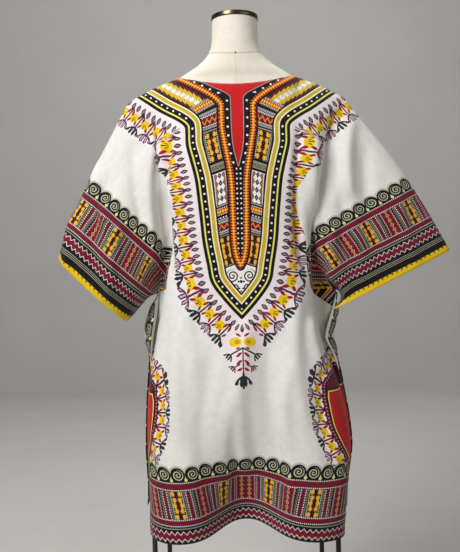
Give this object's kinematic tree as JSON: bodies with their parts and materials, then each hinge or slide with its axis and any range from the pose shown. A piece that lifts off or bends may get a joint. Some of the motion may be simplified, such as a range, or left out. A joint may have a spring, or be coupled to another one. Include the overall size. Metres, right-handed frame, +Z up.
{
  "type": "dashiki tunic on a limbless dress form with a stand",
  "caption": "Printed cotton dashiki tunic with wide short sleeves and side ties, worn by a limbless dress form on a slim metal stand.",
  "frame": {"origin": "middle of the part's box on the floor", "axes": "+Z up, from the floor to the neck cap; -Y out of the garment's back, the pictured side; +X to the right of the picture"},
  "size_m": [0.7194, 0.2577, 1.2433],
  "materials": {
    "printed_cotton": "printed plain-weave cotton, matte",
    "form_cloth": "ivory knit cover, matte",
    "black_metal": "black satin paint",
    "rubber": "black rubber, matte"
  },
  "bodies": {
    "root": {"back_panel": "printed_cotton", "front_panel": "printed_cotton", "tie_left": "printed_cotton", "tie_right": "printed_cotton", "form_torso": "form_cloth", "neck_cap": "black_metal", "stand_plate": "black_metal", "leg_far_left": "black_metal", "leg_near_left": "black_metal", "leg_near_right": "black_metal", "leg_far_right": "black_metal", "foot_far_left": "rubber", "foot_near_left": "rubber", "foot_near_right": "rubber", "foot_far_right": "rubber"}
  },
  "joints": []
}
